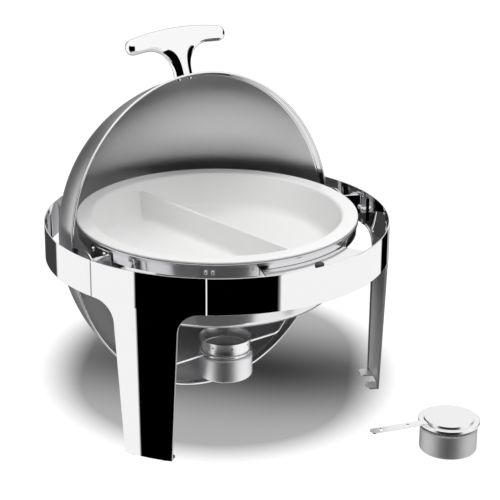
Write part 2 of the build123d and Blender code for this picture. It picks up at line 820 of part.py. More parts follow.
water_mouth_inner = water_mouth_radius - water_sheet
with BuildPart() as water_pan:
    with BuildSketch(section_plane(90)):
        with BuildLine():
            Polyline(
                (0, water_floor_height), (water_floor_radius, water_floor_height),
                (water_mouth_radius, water_flange_under),
                (water_flange_radius - water_sheet, water_flange_under),
                (water_flange_radius - water_sheet, water_flange_top - water_flange_lip),
                (water_flange_radius, water_flange_top - water_flange_lip),
                (water_flange_radius, water_flange_top), (water_mouth_inner, water_flange_top),
                (water_floor_radius - water_sheet, water_floor_height + water_sheet),
                (0, water_floor_height + water_sheet), close=True,
            )
        make_face()
        fillet([v for v in vertices() if abs(v.X - water_floor_radius) < 0.01], water_corner)
        fillet([v for v in vertices() if abs(v.X - water_floor_radius + water_sheet) < 0.01],
               water_corner - water_sheet)
        fillet([v for v in vertices() if abs(v.X - water_flange_radius) < 0.01
                and abs(v.Y - water_flange_top) < 0.01], water_sheet * 0.9)
    revolve(axis=Axis.Z)

# ================= burner, cradle and the holder beside =================


def make_cup(x, y, bottom):
    """Fuel cup: straight body, grooved neck and a rolled lip, open at the top."""
    neck_inner = neck_radius - cup_sheet
    lip = neck_radius + neck_lip
    body_top = bottom + cup_height
    top = bottom + cup_top
    axis = Axis(origin=(x, y, 0), direction=(0, 0, 1))
    with BuildPart() as cup:
        with BuildSketch(Plane(origin=(x, y, 0), x_dir=(1, 0, 0), z_dir=(0, -1, 0))):
            with BuildLine():
                Polyline(
                    (0, bottom), (cup_radius, bottom), (cup_radius, body_top), (neck_radius, body_top),
                    (neck_radius, top - neck_lip), (lip, top - neck_lip), (lip, top), (neck_inner, top),
                    (neck_inner, body_top - cup_sheet), (cup_radius - cup_sheet, body_top - cup_sheet),
                    (cup_radius - cup_sheet, bottom + cup_sheet), (0, bottom + cup_sheet), close=True,
                )
            make_face()
            outer_corners = [v for v in vertices() if abs(v.X - cup_radius) < 0.01]
            fillet(outer_corners, cup_corner)
            inner_corners = [v for v in vertices() if abs(v.X - cup_radius + cup_sheet) < 0.01]
            fillet(inner_corners, cup_corner - cup_sheet)
        revolve(axis=axis)
    return cup.part


def make_wick(x, y, bottom):
    """The fibre pad that soaks up the fuel, loose in the cup."""
    with BuildPart() as wick:
        with BuildSketch(Plane(origin=(x, y, bottom + cup_sheet), x_dir=(1, 0, 0), z_dir=(0, 0, 1))):
            Circle(neck_radius - cup_sheet - wick_clearance)
        extrude(amount=wick_height)
        fillet(faces().sort_by(Axis.Z)[-1].edges(), wick_edge)
    return wick.part


burner_cup = make_cup(0, burner_offset, burner_floor)
burner_wick = make_wick(0, burner_offset, burner_floor)
holder_cup = make_cup(holder_x, holder_y, 0)
holder_wick = make_wick(holder_x, holder_y, 0)

collar_bottom = burner_floor + cup_top
collar_top = collar_bottom + collar_height
collar_foot = neck_radius + neck_lip
collar_waist = (collar_foot + collar_mouth_radius) / 2 - collar_hollow
collar_waist_height = collar_bottom + collar_height * 0.55
collar_axis = Axis(origin=(0, burner_offset, 0), direction=(0, 0, 1))
with BuildPart() as burner_collar:
    with BuildSketch(Plane(origin=(0, burner_offset, 0), x_dir=(1, 0, 0), z_dir=(0, -1, 0))):
        with BuildLine():
            outer_line = ThreePointArc(
                (collar_foot, collar_bottom), (collar_waist, collar_waist_height),
                (collar_mouth_radius, collar_top),
            )
            Polyline(outer_line @ 1, (collar_mouth_radius - cup_sheet, collar_top))
            inner_line = ThreePointArc(
                (collar_mouth_radius - cup_sheet, collar_top),
                (collar_waist - cup_sheet, collar_waist_height),
                (collar_foot - cup_sheet, collar_bottom),
            )
            Line(inner_line @ 1, outer_line @ 0)
        make_face()
    revolve(axis=collar_axis)
    for turn in range(collar_vents):
        angle = 360 / collar_vents * (turn + 0.5)
        vent_plane = Plane(origin=(0, burner_offset, collar_bottom + collar_height * 0.6),
                           x_dir=radial(angle + 90), z_dir=radial(angle))
        with BuildSketch(vent_plane):
            Circle(collar_vent_radius)
        extrude(amount=collar_mouth_radius + cut_reach, mode=Mode.SUBTRACT)

cradle_height = burner_floor + cup_height + cradle_wire + cradle_above_cup
cradle_ring = neck_radius + cradle_wire + seat_gap
arm_upright = bracket_outer + cradle_wire + seat_gap
with BuildPart() as burner_cradle:
    with BuildSketch(Plane(origin=(0, burner_offset, 0), x_dir=(1, 0, 0), z_dir=(0, -1, 0))):
        with Locations((cradle_ring, cradle_height)):
            Circle(cradle_wire)
    revolve(axis=collar_axis)
    for side in (-1, 1):
        arm_plane = Plane(origin=(0, burner_offset, 0), x_dir=(side, 0, 0), z_dir=(0, -side, 0))
        with BuildLine(arm_plane) as arm_path:
            FilletPolyline(
                (cradle_ring, cradle_height), (cradle_arm_bend, cradle_height),
                (arm_upright - cradle_knee_inset, cradle_knee_height),
                (arm_upright, bracket_top - bracket_depth - cradle_upright_below),
                (arm_upright, cradle_upright_top),
                radius=cradle_bend_radii,
            )
        with BuildSketch(Plane(origin=(side * cradle_ring, burner_offset, cradle_height),
                               x_dir=(0, 1, 0), z_dir=(side, 0, 0))):
            Circle(cradle_wire)
        sweep(path=arm_path.wires()[0])

cover_seat = cup_top + lift_gap
holder_axis = Axis(origin=(holder_x, holder_y, 0), direction=(0, 0, 1))
holder_section = Plane(origin=(holder_x, holder_y, 0), x_dir=(1, 0, 0), z_dir=(0, -1, 0))
with BuildPart() as holder_cover:
    with BuildSketch(holder_section):
        with BuildLine():
            Polyline(
                (0, cover_seat + cover_raised), (skirt_radius - cover_sheet, cover_seat + cover_raised),
                (skirt_radius - cover_sheet, cover_seat - cover_skirt),
                (skirt_radius, cover_seat - cover_skirt),
                (skirt_radius, cover_seat), (cover_radius - cover_sheet, cover_seat),
                (cover_radius - cover_sheet, cover_seat - cover_hem),
                (cover_radius, cover_seat - cover_hem),
                (cover_radius, cover_seat + cover_sheet),
                (cover_raised_radius, cover_seat + cover_sheet),
                (cover_raised_radius - cover_step, cover_seat + cover_raised + cover_sheet),
                (0, cover_seat + cover_raised + cover_sheet), close=True,
            )
        make_face()
        fillet([v for v in vertices() if abs(v.X - cover_radius) < 0.01 and v.Y > cover_seat],
               cover_sheet * 0.8)
    revolve(axis=holder_axis)

strip_bottom = cover_seat + cover_sheet
strip_plane = Plane(origin=(holder_x, holder_y, strip_bottom), x_dir=radial(strip_azimuth),
                    z_dir=(0, 0, 1))
with BuildPart() as cover_handle:
    with BuildSketch(strip_plane):
        with Locations((strip_start, 0)):
            Rectangle(strip_reach - strip_start, strip_width, align=(Align.MIN, Align.CENTER))
        fillet(vertices().group_by(Axis.X)[-1], strip_width * 0.35)
        with Locations((strip_hole_reach, 0)):
            Circle(strip_hole_radius, mode=Mode.SUBTRACT)
        with Locations((strip_slot_reach, 0)):
            SlotOverall(strip_slot_length, strip_slot_width, rotation=90, mode=Mode.SUBTRACT)
    extrude(amount=strip_thickness)

# ================= writing =================

pieces = {
    **legs,
    **bands,
    "splice_plates": splice_plates.part,
    "ring_studs": ring_studs.part,
    "ring_nuts": ring_nuts.part,
    "foot_pads": foot_pads.part,
    "pan_carrier": pan_carrier.part,
    **pivot_brackets,
    "front_ledge": front_ledge.part,
    "lid_bumper": lid_bumper.part,
    "carrier_rivets": carrier_rivets.part,
    "pivot_bolts": pivot_bolts.part,
    "pivot_spacers": pivot_spacers.part,
    "pivot_bushes": pivot_bushes.part,
    "pivot_washers": pivot_washers.part,
    "pivot_nuts": pivot_nuts.part,
    "stop_pins": stop_pins.part,
    "lid_dome": lid_dome.part,
    **lid_ears,
    "lid_handle": lid_handle.part,
    "handle_screws": handle_screws.part,
    "food_pan": food_pan.part,
    "water_pan": water_pan.part,
    "burner_cup": burner_cup,
    "burner_wick": burner_wick,
    "burner_collar": burner_collar.part,
    "burner_cradle": burner_cradle.part,
    "holder_cup": holder_cup,
    "holder_wick": holder_wick,
    "holder_cover": holder_cover.part,
    "cover_handle": cover_handle.part,
}

os.makedirs("parts", exist_ok=True)
for name, piece in pieces.items():
    placed = piece.moved(Location((0, -set_middle, 0)))
    placed.label = name
    export_step(placed, f"parts/{name}.step")
print("stand axis at y =", -set_middle)
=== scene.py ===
"""Looks of a roll top chafer: three folded legs in a ring, a dome that rolls back
round the pans, a divided white pan over a water pan, a burner in its wire cradle,
and a covered fuel holder that stands in front. Metres, the front is -Y."""

import bpy
import numpy as np
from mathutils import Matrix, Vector


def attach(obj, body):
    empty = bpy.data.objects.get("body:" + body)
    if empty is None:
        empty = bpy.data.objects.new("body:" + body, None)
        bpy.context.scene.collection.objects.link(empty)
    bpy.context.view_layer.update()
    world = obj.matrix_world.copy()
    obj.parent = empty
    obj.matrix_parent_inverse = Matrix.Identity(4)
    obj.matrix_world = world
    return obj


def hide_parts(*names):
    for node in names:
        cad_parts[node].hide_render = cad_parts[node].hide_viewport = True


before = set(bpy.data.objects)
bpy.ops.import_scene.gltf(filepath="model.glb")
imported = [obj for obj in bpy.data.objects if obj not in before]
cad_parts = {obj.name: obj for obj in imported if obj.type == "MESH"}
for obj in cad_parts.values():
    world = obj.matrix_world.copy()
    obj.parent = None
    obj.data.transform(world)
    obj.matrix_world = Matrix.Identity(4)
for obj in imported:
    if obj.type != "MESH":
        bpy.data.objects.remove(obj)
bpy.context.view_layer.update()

# ---- legs ----
# Each leg is one blank of polished stainless sheet: a piece of the ring above, a
# tapered leg below, rolled to the ring's curve, with its edges folded inward. The
# face is buffed bright; the folded edges and the back of the leg stay satin.
stand_y = 0.065
ring_bottom = 0.211
satin_top = ring_bottom - 0.003
least_face_reach = 0.16


def new_group(name, values, outputs):
    """Empty shader group that takes a vector and named values, and gives out values."""
    group = bpy.data.node_groups.new(name, "ShaderNodeTree")
    group.interface.new_socket(name="Vector", in_out="INPUT", socket_type="NodeSocketVector")
    for value_name, value in values.items():
        socket = group.interface.new_socket(name=value_name, in_out="INPUT", socket_type="NodeSocketFloat")
        socket.default_value = value
    for output in outputs:
        group.interface.new_socket(name=output, in_out="OUTPUT", socket_type="NodeSocketFloat")
    return group, group.nodes.new("NodeGroupInput"), group.nodes.new("NodeGroupOutput")


def hand_marks_group():
    """Shader group: roughness = base + clouds x soft noise + hairs x fine noise, as smudges and hair
    scratches leave it on a polished face."""
    values = {"Base": 0.04, "Clouds": 0.03, "Hairs": 0.02}
    group, inside, outside = new_group("hand_marks", values, ["Roughness"])
    nodes, links = group.nodes, group.links
    clouds, hairs = nodes.new("ShaderNodeTexNoise"), nodes.new("ShaderNodeTexNoise")
    clouds.inputs["Scale"].default_value = 14.0
    clouds.inputs["Detail"].default_value = 5.0
    hairs.inputs["Scale"].default_value = 900.0
    hairs.inputs["Detail"].default_value = 2.0
    cloud_share, hair_share = nodes.new("ShaderNodeMath"), nodes.new("ShaderNodeMath")
    cloud_share.operation = hair_share.operation = "MULTIPLY_ADD"
    links.new(inside.outputs["Vector"], clouds.inputs["Vector"])
    links.new(inside.outputs["Vector"], hairs.inputs["Vector"])
    links.new(clouds.outputs["Fac"], cloud_share.inputs[0])
    links.new(inside.outputs["Clouds"], cloud_share.inputs[1])
    links.new(inside.outputs["Base"], cloud_share.inputs[2])
    links.new(hairs.outputs["Fac"], hair_share.inputs[0])
    links.new(inside.outputs["Hairs"], hair_share.inputs[1])
    links.new(cloud_share.outputs[0], hair_share.inputs[2])
    links.new(hair_share.outputs[0], outside.inputs["Roughness"])
    return group


hand_marks = hand_marks_group()


def new_material(name):
    """Plain finish with its nodes, its links and its main shader, ready to be built on."""
    material = bpy.data.materials.new(name)
    material.use_nodes = True
    nodes, links = material.node_tree.nodes, material.node_tree.links
    return material, nodes, links, nodes["Principled BSDF"]


def two_faced_steel(name, face, back, centre, spread, limit, below=1.0):
    """One finish on the face and another behind: a spot is behind where its height is under below and
    normal . ((place - centre) x spread) < limit. Face and back are each a colour and a roughness; on the
    lid the two colours are painted light and shade on one sheet."""
    material, nodes, links, shader = new_material(name)
    shader.inputs["Metallic"].default_value = 1.0
    place, from_centre = nodes.new("ShaderNodeTexCoord"), nodes.new("ShaderNodeVectorMath")
    outward, along = nodes.new("ShaderNodeVectorMath"), nodes.new("ShaderNodeVectorMath")
    is_back, is_low, both = (nodes.new("ShaderNodeMath") for _ in range(3))
    split, marks = nodes.new("ShaderNodeSeparateXYZ"), nodes.new("ShaderNodeGroup")
    tint, rough = nodes.new("ShaderNodeMix"), nodes.new("ShaderNodeMix")
    from_centre.name, tint.name, rough.name, marks.name = "from_centre", "tint", "rough", "marks"
    from_centre.operation = "SUBTRACT"
    from_centre.inputs[1].default_value = centre
    outward.operation = "MULTIPLY"
    outward.inputs[1].default_value = spread
    along.operation = "DOT_PRODUCT"
    is_back.operation = "LESS_THAN"
    is_back.inputs[1].default_value = limit
    is_low.operation = "LESS_THAN"
    is_low.inputs[1].default_value = below
    both.operation = "MULTIPLY"
    tint.data_type = "RGBA"
    tint.inputs["A"].default_value = (*face[0], 1.0)
    tint.inputs["B"].default_value = (*back[0], 1.0)
    rough.inputs["A"].default_value = face[1]
    rough.inputs["B"].default_value = back[1]
    marks.node_tree = hand_marks
    marks.inputs["Clouds"].default_value = 0.03
    marks.inputs["Hairs"].default_value = 0.01
    links.new(place.outputs["Object"], from_centre.inputs[0])
    links.new(from_centre.outputs["Vector"], outward.inputs[0])
    links.new(outward.outputs["Vector"], along.inputs[0])
    links.new(place.outputs["Normal"], along.inputs[1])
    links.new(along.outputs["Value"], is_back.inputs[0])
    links.new(place.outputs["Object"], split.inputs[0])
    links.new(split.outputs["Z"], is_low.inputs[0])
    links.new(is_back.outputs[0], both.inputs[0])
    links.new(is_low.outputs[0], both.inputs[1])
    links.new(both.outputs[0], tint.inputs["Factor"])
    links.new(both.outputs[0], rough.inputs["Factor"])
    links.new(tint.outputs["Result"], shader.inputs["Base Color"])
    links.new(rough.outputs["Result"], marks.inputs["Base"])
    links.new(place.outputs["Object"], marks.inputs["Vector"])
    links.new(marks.outputs["Roughness"], shader.inputs["Roughness"])
    return material


leg_steel = two_faced_steel("leg_steel", ((0.89, 0.89, 0.90), 0.0), ((0.62, 0.62, 0.63), 0.42),
                            (0.0, stand_y, 0.0), (1.0, 1.0, 0.0), least_face_reach, satin_top)


def dress(material, *names):
    """Gives carried-over solids their finish."""
    for name in names:
        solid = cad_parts[name].data
        solid.materials.clear()
        solid.materials.append(material)


dress(leg_steel, "leg_front_left", "leg_front_right", "leg_back")

# ---- ring bands ----
# Three plain strips of the same sheet close the ring between the legs. Their top
# edges are dressed round, and they are fixed from behind with plates and cap nuts.
ring_radius = 0.235
ring_top = 0.260
sheet = 0.0015
edge_round = 0.0006
edge_row = 0.0003
side_row = 0.008
leg_seam_angle = 19.65
seam_air = 0.0004
seam_gap = np.degrees(seam_air / ring_radius)
front_seam = 60.0 - leg_seam_angle
side_seam = 60.0 + leg_seam_angle
back_seam = 180.0 - leg_seam_angle
band_arcs = {
    "band_front": (-front_seam, front_seam),
    "band_left": (-back_seam, -side_seam),
    "band_right": (side_seam, back_seam),
}
band_steps = 97
side_rows = 5
round_rows = 5


def grid_faces(rows, columns, closed_rows=False, closed_columns=False, turned_over=False):
    """Quads of a grid whose vertex (i, j) is number i * columns + j. A closed direction joins its end to
    its start."""
    i = np.arange(rows if closed_rows else rows - 1)[:, None]
    j = np.arange(columns if closed_columns else columns - 1)[None, :]
    below, right = (i + 1) % rows, (j + 1) % columns
    corners = [i * columns + j, i * columns + right, below * columns + right, below * columns + j]
    shape = np.broadcast_shapes(i.shape, j.shape)
    quads = np.stack([np.broadcast_to(c, shape) for c in corners], -1).reshape(-1, 4)
    return quads[:, ::-1] if turned_over else quads


def make_piece(name, points, quads, caps, body, node, slot, material):
    """Mesh object from an array of points, an array of quads and a few larger faces. It rides on a body in
    the place of a solid, and takes the finish it is given. The slot is not used."""
    mesh = bpy.data.meshes.new(name)
    faces = np.asarray(quads).tolist() + [list(map(int, cap)) for cap in caps]
    mesh.from_pydata(np.asarray(points, float).reshape(-1, 3).tolist(), [], faces)
    mesh.validate()
    mesh.shade_smooth()
    mesh.materials.append(material)
    piece = bpy.data.objects.new(name, mesh)
    bpy.context.scene.collection.objects.link(piece)
    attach(piece, body)
    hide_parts(node)
    return piece


def polished_steel(name, colour, base, clouds, hairs):
    """Mirror finish: full metal whose roughness is the base value raised by smudges and hair scratches."""
    material, nodes, links, shader = new_material(name)
    shader.inputs["Base Color"].default_value = (*colour, 1.0)
    shader.inputs["Metallic"].default_value = 1.0
    place, marks = nodes.new("ShaderNodeTexCoord"), nodes.new("ShaderNodeGroup")
    marks.node_tree = hand_marks
    marks.inputs["Base"].default_value = base
    marks.inputs["Clouds"].default_value = clouds
    marks.inputs["Hairs"].default_value = hairs
    links.new(place.outputs["Object"], marks.inputs["Vector"])
    links.new(marks.outputs["Roughness"], shader.inputs["Roughness"])
    return material


def bent_strip(start, end, profile, steps):
    """A closed (radius, height) profile carried round the stand's axis between two azimuths:
    x = r sin a, y = stand_y - r cos a, z = height. Returns points, quads and the two end faces."""
    turn = np.radians(np.linspace(start, end, steps))[:, None]
    radius, height = profile[:, 0][None, :], profile[:, 1][None, :]
    points = np.stack([radius * np.sin(turn), stand_y - radius * np.cos(turn), height + 0 * turn], -1)
    count = len(profile)
    last = (steps - 1) * count
    caps = [list(range(count)), list(range(last + count - 1, last - 1, -1))]
    return points, grid_faces(steps, count, closed_columns=True), caps


def band_profile():
    """Section of a strip: upright sides with two rounded top corners. A row close above the sheared bottom
    edge keeps the smooth shading off it."""
    inner = ring_radius - sheet
    side = np.concatenate([[ring_bottom, ring_bottom + edge_row],
                           np.linspace(ring_bottom + side_row, ring_top - 2 * edge_round, side_rows)])
    quarter = np.radians(np.linspace(0, 90, round_rows))
    outer_round = np.stack([ring_radius - edge_round + edge_round * np.cos(quarter),
                            ring_top - edge_round + edge_round * np.sin(quarter)], -1)
    inner_round = np.stack([inner + edge_round - edge_round * np.sin(quarter),
                            ring_top - edge_round + edge_round * np.cos(quarter)], -1)
    outer_side = np.stack([np.full_like(side, ring_radius), side], -1)
    inner_side = np.stack([np.full_like(side, inner), side[::-1]], -1)
    return np.concatenate([outer_side, outer_round, inner_round, inner_side])


ring_steel = polished_steel("ring_steel", (0.89, 0.89, 0.90), 0.0, 0.03, 0.01)
for band_name, (band_start, band_end) in band_arcs.items():
    make_piece(f"{band_name}_strip",
               *bent_strip(band_start + seam_gap, band_end - seam_gap, band_profile(), band_steps),
               "stand", band_name, "polished_ring", ring_steel)

# ---- plates, studs and cap nuts of the ring ----
# Four short plates behind the seams and the weld studs on the ring's inner face,
# all held with domed nuts. Plain satin sheet and bright turned fasteners.
line_scale = 2200.0
length_scale = 40.0


def grain_group():
    """Shader group: noise drawn out into lines, as on a brushed or turned face. Height = lines, and
    roughness = base + depth x (lines + clouds / 2)."""
    values = {"Base": 0.25, "Depth": 0.12}
    group, inside, outside = new_group("metal_grain", values, ["Height", "Roughness"])
    nodes, links = group.nodes, group.links
    lines, cloud = nodes.new("ShaderNodeTexNoise"), nodes.new("ShaderNodeTexNoise")
    share, blend = nodes.new("ShaderNodeMath"), nodes.new("ShaderNodeMath")
    lines.inputs["Scale"].default_value = 1.0
    lines.inputs["Detail"].default_value = 3.0
    cloud.inputs["Scale"].default_value = 0.02
    cloud.inputs["Detail"].default_value = 3.0
    share.operation = blend.operation = "MULTIPLY_ADD"
    blend.inputs[1].default_value = 0.5
    links.new(inside.outputs["Vector"], lines.inputs["Vector"])
    links.new(inside.outputs["Vector"], cloud.inputs["Vector"])
    links.new(cloud.outputs["Fac"], blend.inputs[0])
    links.new(lines.outputs["Fac"], blend.inputs[2])
    links.new(blend.outputs[0], share.inputs[0])
    links.new(inside.outputs["Depth"], share.inputs[1])
    links.new(inside.outputs["Base"], share.inputs[2])
    links.new(share.outputs[0], outside.inputs["Roughness"])
    links.new(lines.outputs["Fac"], outside.inputs["Height"])
    return group


metal_grain = grain_group()


def brushed_steel(name, colour, base, depth, centre=None):
    """Satin finish: fine lines in roughness and bump, which run from side to side or, where a centre is
    given, round an upright axis through it."""
    material, nodes, links, shader = new_material(name)
    shader.inputs["Base Color"].default_value = (*colour, 1.0)
    shader.inputs["Metallic"].default_value = 1.0
    place, mapping = nodes.new("ShaderNodeTexCoord"), nodes.new("ShaderNodeMapping")
    grain, bump = nodes.new("ShaderNodeGroup"), nodes.new("ShaderNodeBump")
    grain.node_tree = metal_grain
    grain.inputs["Base"].default_value = base
    grain.inputs["Depth"].default_value = depth
    links.new(place.outputs["Object"], mapping.inputs["Vector"])
    if centre is None:
        mapping.inputs["Scale"].default_value = (length_scale, line_scale, line_scale)
        links.new(mapping.outputs["Vector"], grain.inputs["Vector"])
    else:
        mapping.inputs["Location"].default_value = [-value for value in centre]
        split, join = nodes.new("ShaderNodeSeparateXYZ"), nodes.new("ShaderNodeCombineXYZ")
        flat, scaled = nodes.new("ShaderNodeVectorMath"), nodes.new("ShaderNodeVectorMath")
        radius = nodes.new("ShaderNodeVectorMath")
        flat.operation = "MULTIPLY"
        flat.inputs[1].default_value = (1.0, 1.0, 0.0)
        radius.operation = "LENGTH"
        scaled.operation = "SCALE"
        scaled.inputs["Scale"].default_value = line_scale
        links.new(mapping.outputs["Vector"], flat.inputs[0])
        links.new(flat.outputs["Vector"], radius.inputs[0])
        links.new(mapping.outputs["Vector"], split.inputs[0])
        links.new(radius.outputs["Value"], join.inputs["X"])
        links.new(split.outputs["Z"], join.inputs["Y"])
        links.new(join.outputs[0], scaled.inputs[0])
        links.new(scaled.outputs["Vector"], grain.inputs["Vector"])
    bump.inputs["Strength"].default_value = 0.08
    bump.inputs["Distance"].default_value = 0.0001
    links.new(grain.outputs["Height"], bump.inputs["Height"])
    links.new(bump.outputs["Normal"], shader.inputs["Normal"])
    links.new(grain.outputs["Roughness"], shader.inputs["Roughness"])
    return material


plate_steel = brushed_steel("plate_steel", (0.80, 0.80, 0.81), 0.16, 0.08)
fastener_steel = polished_steel("fastener_steel", (0.86, 0.86, 0.87), 0.06, 0.05, 0.04)
dress(plate_steel, "splice_plates")
dress(fastener_steel, "ring_studs", "ring_nuts")

# ---- foot pads ----
# Six thin discs of black rubber, glued under the folded tabs of the feet. They keep
# the stand from sliding and from marking the table.


def soft_black(name, colour, roughness):
    """Rubber or moulded plastic: a dark colour that pales a little in cloudy patches, with a fine grain."""
    material, nodes, links, shader = new_material(name)
    shader.inputs["Roughness"].default_value = roughness
    place, ramp = nodes.new("ShaderNodeTexCoord"), nodes.new("ShaderNodeMix")
    cloud, grain = nodes.new("ShaderNodeTexNoise"), nodes.new("ShaderNodeTexNoise")
    bump = nodes.new("ShaderNodeBump")
    cloud.inputs["Scale"].default_value = 180.0
    grain.inputs["Scale"].default_value = 4000.0
    ramp.data_type = "RGBA"
    ramp.inputs["A"].default_value = (*[value * 0.7 for value in colour], 1.0)
    ramp.inputs["B"].default_value = (*[value * 1.5 for value in colour], 1.0)
    bump.inputs["Strength"].default_value = 0.15
    bump.inputs["Distance"].default_value = 0.0002
    links.new(place.outputs["Object"], cloud.inputs["Vector"])
    links.new(place.outputs["Object"], grain.inputs["Vector"])
    links.new(cloud.outputs["Fac"], ramp.inputs["Factor"])
    links.new(ramp.outputs["Result"], shader.inputs["Base Color"])
    links.new(grain.outputs["Fac"], bump.inputs["Height"])
    links.new(bump.outputs["Normal"], shader.inputs["Normal"])
    return material


black_rubber = soft_black("black_rubber", (0.030, 0.030, 0.030), 0.62)
dress(black_rubber, "foot_pads")

# ---- carrier, brackets and front ledge ----
# A rolled hoop carries the pans. Two folded brackets and a folded front ledge join
# it to the ring with rivets and nuts; the ledge also takes the lid's rubber bumper.
carrier_steel = polished_steel("carrier_steel", (0.84, 0.84, 0.85), 0.03, 0.05, 0.02)
dress(carrier_steel, "pan_carrier", "front_ledge", "pivot_bracket_left", "pivot_bracket_right")
dress(fastener_steel, "carrier_rivets")
dress(black_rubber, "lid_bumper")

# ---- pivots ----
# A bolt through each bracket, with a spacer, a plastic bush in the lid's ear, a
# washer and a domed nut; a short pin stops the open lid.
dress(fastener_steel, "pivot_bolts", "pivot_spacers", "pivot_washers", "pivot_nuts", "stop_pins")
dress(soft_black("bush_plastic", (0.05, 0.05, 0.05), 0.40), "pivot_bushes")

# ---- lid ----
# One deep-drawn dome of stainless, satin outside and in, with a short flare and a
# rolled lip that are polished bright. Two ears inside it turn on the pivots, and two
# screws go through its top into the T handle.
pivot_place = (0.0, stand_y, 0.236)
lid_turn = np.radians(98.0)
lid_pole = np.array([0.0, np.sin(lid_turn), np.cos(lid_turn)])
lid_side = np.array([1.0, 0.0, 0.0])
dome_radius = 0.216
dome_sheet = 0.0012
dome_steps = 256
crown_rows = 50
edge_rows = 16
flare_rows = 15
roll_rows = 19
pole_radius = 0.0008
flare_start = 0.0303
flare_blend = 0.02
roll_centre = (0.21718, 0.02272)
roll_radius = 0.00138
roll_join = 0.93
roll_join_rise = 0.0006
roll_turn = (10.0, -190.0)
crease_depth = 0.0006
crease_width = 0.0009
bright_lip_top = flare_start + 0.0015


def dome_wall(radius):
    """(radius, height) down one face: the sphere from the pole to the flare, then a straight line to the
    roll, both pushed out by depth x exp(-((height - flare_start) / width)^2), a shallow pressed crease."""
    edge = np.arcsin(flare_start / radius)
    crown = np.linspace(np.arccos(pole_radius / radius), edge + flare_blend, crown_rows)
    rise = np.concatenate([crown, np.linspace(edge + flare_blend, edge, edge_rows)[1:]])
    sphere = radius * np.stack([np.cos(rise), np.sin(rise)], -1)
    side = np.sign(radius - dome_radius + dome_sheet / 2)
    flare_end = np.array([roll_centre[0] + side * roll_radius * roll_join, roll_centre[1] + roll_join_rise])
    flare = sphere[-1] + np.linspace(0, 1, flare_rows)[1:, None] * (flare_end - sphere[-1])
    face = np.concatenate([sphere, flare])
    face[:, 0] += crease_depth * np.exp(-((face[:, 1] - flare_start) / crease_width) ** 2)
    return face


def dome_profile():
    """(radius, height) from the pole down the outside, round the rolled lip and back up inside."""
    turn = np.radians(np.linspace(*roll_turn, roll_rows))[1:-1]
    roll = np.array(roll_centre) + roll_radius * np.stack([np.cos(turn), np.sin(turn)], -1)
    return np.concatenate([dome_wall(dome_radius), roll, dome_wall(dome_radius - dome_sheet)[::-1]])


def spun(profile, centre, axis, first, steps):
    """A (radius, height) profile turned once round an axis: centre + height axis + radius (cos t first +
    sin t side), with side square to both. Returns points, quads and the two faces that close the poles."""
    turn = np.linspace(0, 2 * np.pi, steps, endpoint=False)[:, None, None]
    around = np.cos(turn) * first + np.sin(turn) * np.cross(axis, first)
    points = np.array(centre) + profile[None, :, 1:] * axis + profile[None, :, :1] * around
    count = len(profile)
    outer_pole = [row * count for row in range(steps)]
    inner_pole = [row * count + count - 1 for row in reversed(range(steps))]
    return points, grid_faces(steps, count, closed_rows=True), [outer_pole, inner_pole]


# The same stainless is tinted lighter inside the dome than outside it. This is painted light and shade
# between the two faces, whose roughness is nearly the same.
lid_steel_painted_light = two_faced_steel("lid_steel_painted_light", ((0.74, 0.74, 0.75), 0.30), ((0.81, 0.81, 0.815), 0.28),
                            pivot_place, (1.0, 1.0, 1.0), 0.0)
lid_nodes, lid_links = lid_steel_painted_light.node_tree.nodes, lid_steel_painted_light.node_tree.links
lid_depth, is_lip = lid_nodes.new("ShaderNodeVectorMath"), lid_nodes.new("ShaderNodeMath")
lip_tint, lip_rough = lid_nodes.new("ShaderNodeMix"), lid_nodes.new("ShaderNodeMix")
lid_depth.operation = "DOT_PRODUCT"
lid_depth.inputs[1].default_value = lid_pole
is_lip.operation = "LESS_THAN"
is_lip.inputs[1].default_value = bright_lip_top
lip_tint.data_type = "RGBA"
lip_tint.inputs["B"].default_value = (0.90, 0.90, 0.91, 1.0)
lip_rough.inputs["B"].default_value = 0.04
lid_links.new(lid_nodes["from_centre"].outputs["Vector"], lid_depth.inputs[0])
lid_links.new(lid_depth.outputs["Value"], is_lip.inputs[0])
lid_links.new(is_lip.outputs[0], lip_tint.inputs["Factor"])
lid_links.new(is_lip.outputs[0], lip_rough.inputs["Factor"])
lid_links.new(lid_nodes["tint"].outputs["Result"], lip_tint.inputs["A"])
lid_links.new(lid_nodes["rough"].outputs["Result"], lip_rough.inputs["A"])
lid_links.new(lip_tint.outputs["Result"], lid_nodes["Principled BSDF"].inputs["Base Color"])
lid_links.new(lip_rough.outputs["Result"], lid_nodes["marks"].inputs["Base"])
make_piece("dome_sheet", *spun(dome_profile(), pivot_place, lid_pole, lid_side, dome_steps),
           "lid", "lid_dome", "polished_lid", lid_steel_painted_light)
dress(plate_steel, "lid_ear_left", "lid_ear_right")
dress(fastener_steel, "handle_screws")

# ---- T handle ----
# Cast in one piece, ground round all over and chromed. It stands on the dome's top
# and is screwed on from inside.
handle_rise = np.radians(69.5)
handle_half_depth = 0.010
stem_half = 0.014
stem_foot = dome_radius + 0.00005
stem_start = stem_foot - 0.002
bar_half = 0.081
bar_crown = 0.285
bar_over = 0.27625
bar_under = 0.25575
bar_under_rise = 0.005
bar_tip = bar_half - (bar_over - bar_under) / 2
throat_radius = 0.034
throat_reach = 0.22412
throat_start = np.radians(85.73)
throat_split = np.radians(124.0)
weld_reach = 0.00002
stem_rows = 7
low_throat_rows = 16
high_throat_rows = 14
bar_end_rows = 7
tip_rows = 17
section_points = 25


def bar_upper(x):
    """Reach of the bar's crowned top over x, a parabola from the crown down to its tips."""
    return bar_crown - (bar_crown - bar_over) * (x / bar_half) ** 2


def bar_lower(x):
    """Reach of the bar's underside over x, a straight line that rises towards the stem."""
    return bar_under + bar_under_rise * (bar_half - x) / (bar_half - stem_half)


def bar_middle(x):
    """Reach of the bar's middle line over x, halfway between its underside and its top."""
    return (bar_upper(x) + bar_lower(x)) / 2


